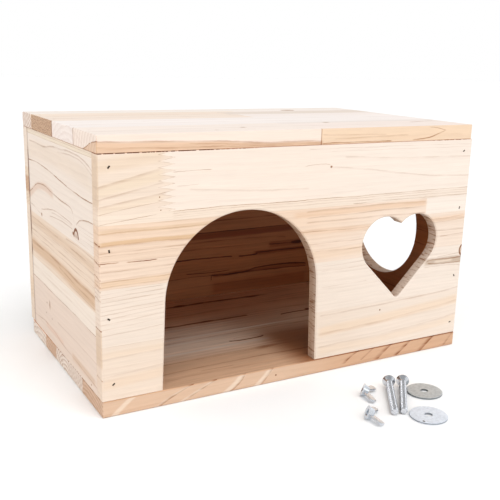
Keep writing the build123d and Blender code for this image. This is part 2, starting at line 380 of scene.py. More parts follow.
    def rings(self, across, through, spacing, strength, start, end):
        """Arched growth rings on the sawn end of one stave, round a centre outside it."""
        s = self.shader
        bent = s.noise(s.combine(s.times(self.v, 0.16), self.w), 0.5)
        reach = s.length(s.minus(self.v, across), s.minus(self.w, through))
        years = s.math("DIVIDE", s.plus(reach, s.times_plus(bent, 3.0, -1.5)), spacing)
        season = s.math("FRACT", years)
        ring = s.hump(season, (0.2, 0.88), (0.9, 1.0))
        block = s.times(s.math("GREATER_THAN", self.v, start), s.math("LESS_THAN", self.v, end))
        self.mark(s.times(ring, block, strength))

    def finish(self, node, inside, depth=1.0):
        """Puts the colour, gloss and relief together. Inside the house the wood gets painted shade: a darker,
        redder tint as strong as depth, and stronger streaks.
        """
        s = self.shader
        dark = s.times(self.dark, s.times_plus(inside, 0.6, 1.0))
        dark = s.math("MINIMUM", dark, 1.6)
        light = s.times_plus(s.minus(self.light, 1.0), s.times_plus(inside, 2.2, 1.0), 1.0)
        colour = s.tinted(s.math("MINIMUM", dark, 1.0), self.colour, LATEWOOD)
        colour = s.tinted(s.ramp(dark, 1.0, 1.6, smooth=False), colour, LATEWOOD)
        colour = s.tinted(self.end_grain, colour, END_GRAIN)
        colour = s.scaled(colour, s.times(light, WOOD_REFLECTANCE * self.light_gain))
        # painted shade on the faces inside the house
        colour = s.tinted(s.times(inside, depth), colour, INSIDE_SHADE)
        s.give("Base Color", colour)
        s.give("Roughness", s.ramp(self.fibre, 0.2, 0.8, 0.55, 0.72, smooth=False))
        s.give("Specular IOR Level", 0.3)
        height = s.times_plus(s.math("MINIMUM", self.late, 1.0), 0.5, self.fibre)
        s.bump(height, 0.00012, 0.6)
        cover(nodes[node], s.material)


def each(draw, *rows):
    """Calls draw once with each row of arguments."""
    for row in rows:
        draw(*row)


def cover(obj, material):
    obj.data.materials.clear()
    obj.data.materials.append(material)


def fingers(place, length, pitch):
    """A finger joint: teeth of this length and pitch that start at place."""
    def edge(board):
        s = board.shader
        return s.times_plus(s.math("PINGPONG", board.v, pitch / 2), length * 2 / pitch, place)
    return edge


# ---- the six boards
def extent(name, axis):
    """From where to where a node reaches along an axis, in mm."""
    corners = [nodes[name].matrix_world @ Vector(corner) for corner in nodes[name].bound_box]
    places = [corner["xyz".index(axis)] / MM for corner in corners]
    return round(min(places), 3), round(max(places), 3)


LEFT, RIGHT = extent("floor_panel", "x")
FRONT, BACK = extent("floor_panel", "y")
TOP = extent("roof_panel", "z")[1]
FLOOR_TOP, ROOF_UNDERSIDE = extent("front_panel", "z")
FRONT_INSIDE, BACK_INSIDE = extent("left_side_panel", "y")
LEFT_INSIDE = extent("left_side_panel", "x")[1]
RIGHT_INSIDE = extent("right_side_panel", "x")[0]
ALONG_X, ALONG_Y, UPWARDS = ("x", -LEFT), ("y", -FRONT), ("z", 0)      # an axis, and what makes its zero


def front_board():
    teeth = fingers(38.9, 11.1, 4.08)
    board = Board("front_softwood", ALONG_X, UPWARDS, ALONG_Y, [
        Stave(11, (244, 224, 205), 3.6, (-90, 20), 0.10),
        Stave(47.7, (246, 229, 213), 3, (190, 26), 0.10),
        Stave(85.2, (246, 221, 199), 2.6, (10, -18), 0.16),
        Stave(102.4, (245, 218, 194), 3.1, (10, 30), 0.16),
        Stave(112.8, (246, 218, 193), 3.4, (10, 30), 0.16),
        Stave(112.8, (252, 237, 223), 3.2, (210, 20), 0.07, 258.6),
        Stave(125.4, (249, 230, 211), 1.6, (240, 12), 0.12),
        Stave(125.4, (249, 230, 211), 1.7, (90, 12), 0.14, 49),
        Stave(131.8, (247, 227, 208), 4.4, (60, -12), 0.10),
        Stave(131.8, (252, 235, 220), 4, (20, 24), 0.06, teeth),
    ], seed=3)
    s = board.shader
    line, streak = board.line, board.streak
    # Painted sheen: the front board grows paler towards its right end, where the light falls stronger.
    board.stain(s.ramp(board.u, 130, 240, 0, 0.4), (253, 240, 228))
    each(board.streak,
         ([(0, 146), (42, 155)], 9, 0.5, (245, 222, 192)), ([(0, 134), (42, 141)], 5, 0.4, (245, 222, 194)),
         ([(0, 161), (42, 167)], 10, 0.5, (240, 214, 186)),
         ([(0, 121.2), (112, 121.6)], 3.4, 0.7, (238, 206, 172)),
         ([(0, 113.6), (40, 114.2), (80, 113.4)], 3.4, 0.9, (230, 192, 152)),
         ([(0, 88.4), (50, 89.4)], 5, 0.6, (238, 204, 168)),
         ([(140, 121.2), (258, 122)], 5, 0.7, (242, 207, 175)),
         ([(140, 108.6), (230, 107.6), (300, 109)], 5, 0.5, (242, 207, 175)),
         ([(140, 91), (208, 92)], 8, 0.4, (244, 212, 180)),
         ([(165, 32), (230, 35), (300, 40)], 9, 0.5, (246, 216, 184)),
         ([(165, 17), (230, 18), (300, 24)], 7, 0.35, (246, 218, 188)),
         ([(0, 22), (44, 25)], 8, 0.5, (244, 216, 188)), ([(0, 42), (44, 43)], 5, 0.4, (244, 218, 190)),
         ([(262, 73.4), (280, 73.8), (302, 73.2)], 6, 0.9, (206, 182, 160)))
    streak([(272, 73.4), (290, 73.5)], 2.2, 0.9, (240, 220, 200), fade=4)
    each(board.line,
         ([(0, 120.6), (60, 121), (112, 120.6)], 0.7, 0.35, 0.8),
         ([(0, 112.6), (40, 113.2), (78, 112.4)], 1, 0.35, 1.2),
         ([(0, 108.4), (62, 108.9)], 0.8, 0.45, 0.5), ([(0, 106.6), (58, 106.9)], 0.4, 0.6),
         ([(0, 101.9), (12, 101.9)], 0.8, 2.2), ([(18, 101.6), (37, 101.3)], 0.8, 2.4),
         ([(0, 103.2), (60, 101.4)], 0.5, 0.5), ([(0, 96.4), (50, 97)], 0.7, 0.35, 0.6),
         ([(0, 90.2), (48, 90.6)], 0.8, 0.45, 0.4), ([(0, 87), (46, 87.6)], 0.8, 0.35, 0.6),
         ([(150, 123.4), (205, 123.9), (258, 123)], 0.9, 0.3, 1.2),
         ([(150, 118.7), (210, 119.2), (258, 119.9)], 0.5, 0.4, 0.9),
         ([(150, 115.3), (258, 114.9)], 0.8, 0.35, 1),
         ([(146, 108.6), (210, 107.8), (300, 109.6)], 0.5, 0.5, 0.4),
         ([(200, 105.2), (228, 105), (300, 106.9)], 0.5, 0.6),
         ([(150, 99.2), (200, 99.6), (300, 98.4)], 0.6, 0.35, 0.8),
         ([(158, 93.8), (200, 93.2)], 0.6, 0.3, 0.6), ([(276, 94.6), (300, 95)], 0.5, 0.7, 0.5))
    board.settle()
    each(board.line,
         ([(49, 131.6), (300, 131.4)], 0.5, 1.2), ([(49, 130), (160, 130.2), (300, 129.6)], 0.4, 0.7),
         ([(49, 128.4), (300, 128.2)], 0.35, 0.7), ([(190, 126.4), (300, 126)], 0.5, 1),
         ([(0, 125.9), (38, 130.6)], 0.5, 0.9), ([(0, 125.4), (300, 125.4)], 0.4, 0.3),
         ([(0, 149.2), (40, 158.8)], 0.7, 0.35, 2), ([(0, 141.6), (42, 150)], 0.5, 0.3, 1.5),
         ([(0, 136.8), (44, 143.8)], 0.6, 0.35, 1.5), ([(0, 132.2), (40, 138.2)], 0.5, 0.6),
         ([(49, 156.1), (75, 156.4)], 0.45, 1.2), ([(52, 147), (66, 147.4)], 0.5, 0.5, 0.3),
         ([(147, 154.6), (160, 155.8), (167, 154.6)], 0.4, 0.8),
         ([(170, 153.4), (200, 150.4), (226, 147.2), (262, 143.2), (300, 141.4)], 0.5, 0.3, 1.2),
         ([(60, 144.6), (110, 141.2), (150, 139.8)], 0.6, 0.22, 1.5),
         ([(150, 166.6), (300, 165.2)], 0.5, 0.55), ([(168, 164.4), (300, 163)], 0.4, 0.4),
         ([(180, 160.4), (240, 157.6), (300, 156.4)], 0.6, 0.22, 1.6))
    each(board.spot,
         (168.2, 153.6, 1.3, 1.1, 1.5, 0.2), (39.6, 140.9, 0.6, 0.6, 1.6, 0.3),
         (40.4, 132.6, 0.6, 0.5, 1.4, 0.3))
    board.settle()
    line([(0, 85.2), (44, 85.3)], 0.4, 0.4)
    for low in (82.4, 79.6, 76.9, 74.4, 71.2, 68.9):
        line([(0, low), (42, low + 2)], 0.45, 0.36, 0.4)
    for low in (66.0, 62.8, 59.4, 55.2):
        line([(0, low), (42, low + 2.6)], 0.5, 0.26, 0.6)
    each(board.line,
         ([(165, 82), (205, 82.8)], 0.5, 0.3, 0.4), ([(165, 78.6), (205, 78.9)], 0.5, 0.25, 0.4),
         ([(165, 66.2), (206, 67)], 0.5, 0.25, 0.4),
         ([(263, 73.4), (274, 75.6), (286, 74.8), (300, 75.4)], 0.8, 0.9, 0.5),
         ([(265, 72.6), (280, 71.6), (300, 71.4)], 0.8, 0.9, 0.5),
         ([(262, 69.8), (280, 70), (300, 68.2)], 0.6, 0.4, 0.6),
         ([(275, 77.6), (300, 78.4)], 0.5, 0.7, 0.4))
    board.ringed_knot(300.5, 80.6, 3.4, 4.6, 2)
    board.spot(301, 80.6, 3, 4.2, 0.8)
    each(board.line,
         ([(0, 47.8), (43, 47.9)], 0.4, 0.35), ([(165, 44.6), (230, 46.2), (300, 50.2)], 0.5, 0.35, 1.4),
         ([(165, 30.6), (230, 33.4), (300, 39.2)], 0.6, 0.2, 2.6),
         ([(165, 20.4), (240, 22.6), (300, 27.4)], 0.6, 0.2, 2), ([(0, 39.6), (42, 41.2)], 0.6, 0.16, 1.5),
         ([(0, 27.6), (42, 30.2)], 0.6, 0.16, 1.6))
    board.spot(220.4, 41.3, 0.8, 0.9, 2, 0.3)
    board.settle()
    end = board.near("x", LEFT)

    def rows(low, high, strength):
        return s.times(end, board.within(low, high, board.v), strength)

    board.stain(rows(137, 168, 0.6), (228, 202, 174))
    board.stain(rows(34, 58, 0.6), (226, 198, 168))
    from_inside = s.minus(FRONT_INSIDE - FRONT, board.w)
    for inside, outside, strength in (
            (114, 113.2, 1.6), (103.2, 100.8, 1.1), (94, 91.8, 0.9), (88.4, 87.4, 0.5), (85.6, 84.4, 0.5),
            (82.6, 81.4, 0.5), (79.6, 78.2, 0.5), (59.6, 58.8, 1.2), (26.4, 25.4, 0.5)):
        line([(-1, inside), (11, outside)], 0.9, strength, 0.6, u=from_inside, fade=0.1)
    board.settle(end)
    joint = s.math("ABSOLUTE", s.minus(board.u, teeth(board)))
    joined = s.math("GREATER_THAN", board.v, 131.8)
    wear = s.ramp(s.noise(board.stretched(0.3, 0.25, 0.1, 8), detail=1), 0.35, 0.62, 0.15, 0.9)
    board.mark(s.times(s.ramp(joint, 0.1, 0.9, 0.8, 0), joined, wear))
    board.settle()
    # painted shade in the gaps under the roof
    board.gap(board.v, 0.34, 0, 76, 1, 3)
    board.gap(board.v, 0.3, 76, 106, 4, 1.2)
    board.gap(board.v, 0.3, 262, 296, 2, 1.4)
    board.settle()
    board.brown_openings(RIGHT - LEFT, 190)
    board.finish("front_panel", board.inner("y", FRONT_INSIDE, 1))


def left_board():
    # Painted light: the left side is made brighter as a whole by its gain.
    board = Board("left_side_softwood", ALONG_Y, UPWARDS, ALONG_X, [
        Stave(11, (239, 217, 200), 4.2, (-60, -20), 0.08),
        Stave(52.4, (248, 232, 216), 3.2, (150, 34), 0.09),
        Stave(68, (242, 219, 197), 2.6, (150, 34), 0.16),
        Stave(104.5, (246, 230, 216), 4.6, (40, -30), 0.06),
        Stave(165.4, (244, 226, 204), 2, (240, 10), 0.10),
    ], seed=11, light_gain=1.04)
    s = board.shader
    board.streak([(10, 150), (60, 154), (110, 155), (167, 153)], 16, 0.5, (240, 218, 196), fade=20)
    each(board.streak,
         ([(100, 128), (122.8, 130), (135.5, 129), (147, 126), (158, 121.2), (167, 118)], 7, 0.6,
           (230, 196, 172)),
         ([(10, 74.6), (50, 75.8), (100, 77.2), (167, 78)], 12, 0.9, (224, 188, 154)),
         ([(10, 97), (100, 98), (167, 98)], 8, 0.65, (228, 197, 168)),
         ([(86, 20.6), (132, 21.2)], 5, 0.5, (234, 196, 172)),
         ([(14, 18.6), (64, 19.2)], 6, 0.6, (222, 188, 158)))
    each(board.line,
         ([(10, 158), (18.6, 160.6), (30, 162.8), (45.3, 164), (72, 163.5), (98.6, 162.4), (120, 160.4),
           (142, 160), (161, 160.2)], 0.5, 0.55, 1.3),
         ([(10, 155.2), (18, 157.6), (28, 160.2), (42, 161.8), (60, 161.6), (84, 160.4)], 0.5, 0.4, 1),
         ([(10, 137.6), (40.2, 138.1), (59.2, 139.3), (84.7, 141.9), (116.4, 144.5), (142, 145.7),
           (167, 145.3)], 0.6, 1.25, 0.7),
         ([(52.4, 124), (56, 126.2), (60.5, 127.1), (78.3, 128), (103.7, 129.7), (122.8, 131.4),
           (135.5, 130.6), (147, 128), (157.1, 123.4), (167, 119.8)], 0.6, 0.8, 0.9),
         ([(49, 116), (50.4, 120), (52.2, 123.6), (54.6, 125.6)], 0.6, 0.8, 0.5),
         ([(10, 124.9), (26.2, 123.9), (35.1, 122.3), (41.4, 119.8), (45.3, 117.2)], 0.6, 0.9, 0.8),
         ([(132.3, 107.8), (138.1, 107.6), (152, 109.5), (166, 110.4)], 0.6, 0.8),
         ([(54, 115.6), (70.7, 117), (91, 117.3), (108.8, 115.6), (121.5, 113.5),
           (133, 111.8)], 0.6, 0.8, 0.6),
         ([(54, 112.6), (75.8, 113), (91, 112.2), (110.1, 110.6)], 0.5, 0.6, 0.6),
         ([(56, 114.4), (73, 115.2), (90, 115), (104, 113.8)], 0.4, 0.45, 0.4))
    board.settle()
    each(board.line,
         ([(10, 118.2), (42, 118)], 0.4, 0.5), ([(10, 116), (40, 115.4)], 0.4, 0.55),
         ([(10, 113.4), (40, 113)], 0.4, 0.45), ([(10, 110.4), (38, 110)], 0.4, 0.5),
         ([(10, 106.6), (60, 107.2)], 0.4, 0.4), ([(10, 103), (40, 103.4), (70, 102.4)], 0.6, 0.4, 0.8),
         ([(10, 98), (60, 98.6)], 0.6, 0.4, 0.6), ([(90, 99), (165, 100.6)], 0.6, 0.35, 0.6),
         ([(10, 93.4), (60, 93.8), (120, 94.6), (166, 95)], 0.5, 0.35, 0.6),
         ([(10, 88.6), (60, 89), (120, 90), (166, 90.6)], 0.7, 0.4, 0.9),
         ([(10, 84.6), (60, 85.4), (120, 86.4), (166, 87)], 0.4, 0.35, 0.6),
         ([(10, 78.4), (50, 79.4), (100, 80.4), (166, 81)], 0.8, 0.5, 2),
         ([(10, 73.4), (60, 75.6), (90, 77.4)], 0.7, 0.4, 1.2), ([(10, 70.2), (80, 72.4)], 0.6, 0.35, 1),
         ([(10, 52.4), (167, 52.4)], 0.6, 0.9, 0.3), ([(10, 165.5), (167, 165.5)], 0.5, 0.8),
         ([(10, 167.6), (167, 167.8)], 0.5, 0.5),
         ([(10, 16.9), (52.9, 18.7), (91, 19.8), (103.7, 21.6), (129.2, 22.4), (148.2, 21),
           (167, 19.4)], 0.5, 0.5, 1),
         ([(10, 34), (100, 33)], 0.5, 0.25, 1), ([(60, 60), (167, 60.6)], 0.5, 0.2, 1))
    each(board.spot,
         (133, 107.4, 2.4, 2.2, 1.1), (120.3, 39.6, 2, 5.4, 1.1), (128.5, 39.2, 1.7, 1, 0.9),
         (131.7, 30.1, 2.2, 0.9, 0.7), (115.2, 30.1, 1.8, 1.2, 0.6), (22, 14.3, 1.5, 1, 1.1))
    board.settle()
    above = s.ramp(board.v, 107.6, 109.4)
    board.ringed_knot(46.2, 108.8, 5.2, 5.8, s.times(above, 2.2))
    board.spot(41.4, 109.2, 1.8, 1.6, 1.4)
    board.spot(52.4, 110.2, 2.8, 1.8, 1.6)
    board.settle()
    shadow = 0.4                # in the joint with the back board, deeper in three places
    for low, high in ((114, 152), (86, 108), (69, 76)):
        shadow = s.times_plus(board.within(low, high, board.v, 8), 0.6, shadow)
    shadow = s.times(shadow, s.ramp(board.u, 164.2, 168.2))
    board.stain(s.times(shadow, board.near("x", LEFT)), (112, 66, 40))
    board.finish("left_side_panel", board.inner("x", LEFT_INSIDE, 1))


def right_board():
    board = Board("right_side_softwood", ALONG_Y, UPWARDS, ALONG_X, [
        Stave(11, (249, 230, 211), 3.2, (-70, 20), 0.12),
        Stave(44, (252, 238, 224), 3.6, (170, -16), 0.08),
        Stave(72, (247, 223, 198), 2.8, (0, 26), 0.18),
        Stave(98, (250, 233, 215), 4, (40, -24), 0.10),
        Stave(131, (252, 239, 226), 3.4, (230, 18), 0.08),
    ], seed=23)
    each(board.streak,
         ([(0, 82), (90, 85), (180, 84)], 9, 0.6, (234, 200, 160)),
         ([(0, 26), (90, 30), (180, 27)], 8, 0.5, (240, 212, 180)))
    each(board.line,
         ([(0, 98), (180, 98.2)], 0.5, 0.7), ([(0, 44), (180, 44)], 0.5, 0.45),
         ([(0, 131), (180, 131)], 0.4, 0.35),
         ([(0, 142), (60, 146), (120, 151), (180, 149)], 0.6, 0.8, 1.2),
         ([(0, 156), (50, 158), (110, 163), (180, 161)], 0.5, 0.5, 1),
         ([(0, 30), (90, 34), (180, 33)], 0.7, 0.5, 1.2), ([(0, 20), (80, 22), (180, 18)], 0.5, 0.4, 1),
         ([(0, 121), (70, 125), (180, 122)], 0.6, 0.5, 1),
         ([(0, 113), (40, 116), (150, 118), (180, 116)], 0.4, 0.4, 0.6),
         ([(0, 90), (180, 92)], 0.6, 0.4, 0.8), ([(0, 79), (180, 80)], 0.6, 0.45, 1.4))
    board.ringed_knot(152, 60, 4, 3.2, 1.6)
    board.line([(100, 57), (135, 58.5), (152, 64), (168, 59), (180, 58)], 0.5, 0.5, 0.8)
    board.settle()
    board.brown_openings(BACK - FRONT)
    board.finish("right_side_panel", board.inner("x", RIGHT_INSIDE, -1))


def back_board():
    board = Board("back_softwood", ALONG_X, UPWARDS, ALONG_Y, [
        Stave(11, (247, 228, 208), 3.4, (-80, 200), 0.14),
        Stave(30.7, (244, 221, 196), 2.8, (160, 210), 0.18),
        Stave(47.9, (248, 229, 208), 3, (10, 150), 0.16),
        Stave(71, (248, 230, 211), 3.6, (10, 190), 0.14),
        Stave(108, (244, 222, 197), 3, (220, 200), 0.18),
        Stave(138, (250, 234, 218), 3.8, (40, 160), 0.10),
    ], seed=31)
    s = board.shader
    line = board.line
    inside = board.inner("y", BACK_INSIDE, -1)

    each(board.streak,
         ([(0, 68.8), (150, 68.2), (300, 68.4)], 7, 0.8, (172, 106, 48), inside),
         ([(222, 53.6), (264, 53.4)], 7, 0.6, (190, 134, 92), inside),
         ([(206, 47.2), (264, 47.4)], 5, 0.8, (190, 134, 92), inside),
         ([(163, 30), (264, 30.6)], 4, 0.7, (190, 136, 96), inside),
         ([(163, 18.4), (264, 17.6)], 13, 0.6, (208, 158, 118), inside),
         ([(90, 22), (158, 22)], 17, 0.6, (255, 242, 228), inside),
         ([(60, 108), (180, 109), (300, 107)], 6, 0.7, (200, 154, 120), inside))
    each(board.line,
         ([(0, 71), (300, 71)], 1, 1.8), ([(0, 48.2), (150, 47.6), (182, 46.6)], 1.1, 2.4, 0.5),
         ([(190, 46.3), (200, 46), (209, 46.6)], 1.4, 2.4, 0.4), ([(208, 48), (264, 47.6)], 0.8, 1.2, 0.8),
         ([(0, 30.7), (162, 30.7)], 0.7, 1),
         ([(162, 31), (190, 30), (208, 32.6), (228, 33.4), (264, 30.8)], 1.1, 2, 0.9),
         ([(191, 29.8), (228, 29.6), (264, 28.6)], 0.8, 1.2, 0.5),
         ([(136, 34.4), (160, 33.6), (180, 33.9)], 0.7, 1.2, 0.5),
         ([(60, 61), (150, 63), (240, 60)], 1, 0.4, 2), ([(90, 55), (170, 56.5), (300, 54)], 0.7, 0.3, 1.2),
         ([(222, 54.4), (246, 53.6)], 0.9, 1, 0.6), ([(0, 92), (120, 95), (300, 90)], 0.8, 0.7, 1.6),
         ([(0, 80), (140, 82), (300, 79)], 0.7, 0.5, 1.2),
         ([(0, 101), (150, 102), (300, 100)], 0.6, 0.6, 1))
    board.spot(253, 53.5, 9.5, 2, 2.4)
    board.mark(s.times(s.math("COMPARE", board.u, 161, 0.35), s.math("COMPARE", board.v, 28.4, 2.6), 3))
    board.settle(inside)
    outside = board.near("y", BACK)
    for joint, width, strength in ((71, 0.6, 0.7), (47.9, 0.6, 0.6), (30.7, 0.5, 0.5), (108, 0.6, 0.8),
                                   (138, 0.5, 0.6)):
        line([(0, joint), (300, joint)], width, strength)
    each(board.line,
         ([(0, 58), (130, 63), (300, 59)], 0.6, 0.6, 1.2),
         ([(0, 90), (90, 96), (200, 98), (300, 92)], 0.6, 0.8, 1.2),
         ([(0, 84), (110, 88), (210, 89), (300, 85)], 0.5, 0.5, 1),
         ([(0, 118), (150, 121), (300, 118)], 0.6, 0.5, 1.2),
         ([(0, 127), (150, 130), (300, 126)], 0.5, 0.4, 1),
         ([(0, 152), (140, 149), (300, 153)], 0.6, 0.5, 1.2),
         ([(0, 38), (160, 41), (300, 37)], 0.6, 0.4, 1.2), ([(0, 20), (140, 22), (300, 19)], 0.5, 0.4, 1))
    board.ringed_knot(64, 36, 4.2, 2.6, 1.6)
    board.ringed_knot(236, 118, 2.6, 2, 1.4)
    line([(40, 34), (56, 38), (64, 40.2), (76, 38), (92, 35)], 0.5, 0.7, 0.6)
    board.settle(outside)
    board.stain(s.times(board.near("x", LEFT), board.within(118.6, 131, board.v)), (216, 178, 146))
    board.finish("back_panel", inside)


def roof_board():
    # Painted light: the roof is made brighter as a whole by its gain, standing in for the sheen on top.
    board = Board("roof_softwood", ALONG_X, ALONG_Y, UPWARDS, [
        Stave(0, (251, 237, 226), 4.4, (52, 128), 0.08),
        Stave(0, (251, 236, 226), 3.4, (20, 150), 0.08, 158.7),
        Stave(46, (252, 242, 236), 4, (75, 152), 0.06),
        Stave(95, (249, 232, 217), 1.8, (90, 130), 0.16),
        Stave(95, (252, 241, 234), 3.6, (120, 260), 0.06, 160),
        Stave(123, (249, 232, 215), 1.8, (90, 130), 0.16),
        Stave(123, (237, 222, 209), 2.6, (120, 260), 0.12, 152),
        Stave(147, (249, 232, 215), 1.8, (90, 130), 0.16),
        Stave(147, (249, 237, 228), 3.6, (120, 240), 0.08, 170),
        Stave(155, (250, 239, 230), 5.2, (176, 120), 0.12),
    ], seed=47, light_gain=1.07)
    s = board.shader
    line = board.line
    front = board.near("y", FRONT)
    left = s.ramp(board.u, 158.6, 158.8, 1, 0, smooth=False)
    right = s.minus(1, left)
    height = board.w
    growth = [(0, 176.2), (50, 175.4), (85, 174.2), (120, 172.4), (160, 172)]
    board.stain(s.times(front, 0.7), (246, 223, 206))
    below = s.fall(board.offset(growth, v=height), -1.6, 0.4)
    board.stain(s.times(front, left, below, 0.85), (229, 191, 157))
    board.stain(s.times(front, right, 0.85), (240, 210, 178))
    for points, width, strength, soft in (
            (growth, 0.5, 0.55, 1.2),
            ([(0, 172.6), (50, 171.6), (100, 170.8), (160, 170.2)], 0.6, 0.4, 1.6),
            ([(60, 173.6), (110, 171.6), (160, 170.8)], 0.4, 0.4, 0.6),
            ([(160, 170.2), (190, 170.6), (220, 170.2)], 0.5, 0.9, 0.8),
            ([(240, 170.2), (256, 171.8), (264, 174.2), (271, 176.6)], 0.5, 1, 0.9),
            ([(256, 179), (264, 178.2), (272, 176.8)], 0.4, 0.8, 0.4),
            ([(160, 176.2), (215, 175.2)], 0.6, 0.3, 1), ([(170, 173.4), (235, 174.2)], 0.6, 0.25, 1)):
        line(points, width, strength, soft, v=height)
    board.seam(board.u, 158.7, 0.1, 0.6, 0.8)
    # painted shade in the gap under the roof
    board.gap(height, 0.3, 0, 76, 1, 3)
    board.settle(front)
    top = board.near("z", TOP)
    each(board.streak,
         ([(0, 140), (80, 138), (158, 139)], 12, 0.7, (248, 227, 208), top),
         ([(0, 104), (80, 105), (158, 103)], 7, 0.5, (248, 228, 212), top),
         ([(150, 43), (220, 45), (300, 42)], 14, 0.6, (240, 228, 220), top))
    each(board.line,
         ([(0, 95), (160, 95)], 0.5, 0.4), ([(0, 123), (298, 123)], 0.5, 0.45),
         ([(0, 46), (298, 46)], 0.4, 0.3), ([(150, 147), (298, 147)], 0.5, 0.4),
         ([(0, 112), (70, 113), (158, 111)], 0.6, 0.5, 2), ([(0, 130), (70, 131), (158, 129)], 0.6, 0.5, 2),
         ([(0, 62), (90, 66), (200, 60)], 0.6, 0.3, 2), ([(60, 80), (150, 84), (298, 78)], 0.6, 0.25, 2),
         ([(0, 20), (120, 24), (230, 18)], 0.6, 0.3, 2))
    each(board.spot,
         (191, 42, 4.4, 2.6, 1.3), (110, 23, 3.6, 2.4, 1.1), (84, 11, 2.4, 1.8, 0.5))
    board.ringed_knot(229, 157, 6.4, 4.4, 0.9)
    board.spot(229, 157, 7.4, 5.2, 0.8)
    line([(262, 30), (275, 33), (292, 37)], 1.6, 0.9, 1.4)
    board.settle(top)
    end = board.near("x", LEFT)
    brown = s.hump(board.v, (95.4, 96), (152.4, 153))
    board.stain(s.times(end, brown, 0.9), (204, 168, 134))
    pores = s.noise(s.combine(board.v, board.w), 0.9, 3, 0.7)
    board.mark(s.times(brown, s.ramp(pores, 0.5, 0.66, 0, 1.4)))
    board.seam(board.v, 96.6, 0.2, 1.2, 0.9)
    line([(0, 176.4), (7, 175), (13.5, 173.4), (22.4, 170.4), (30, 168.6)], 0.5, 1.3, 0.6, u=board.v,
         v=height)
    board.rings(60, 130, 4.2, 0.14, 47, 95)
    board.rings(128, 214, 3.6, 0.8, 153, 180)
    board.rings(-30, 150, 4.6, 0.18, 0, 46)
    board.seam(board.v, 46.2, 0.2, 0.9, 0.9)
    board.settle(end)
    tan_corner = s.fall(board.offset([(0, 176.2), (13.5, 173.2), (30, 168.4)], board.v, height), -0.6, 0.2)
    tan_corner = s.times(tan_corner, s.fall(board.v, 28, 32))
    board.stain(s.times(end, tan_corner, 0.8), (228, 192, 158))
    board.finish("roof_panel", board.inner("z", ROOF_UNDERSIDE, -1))


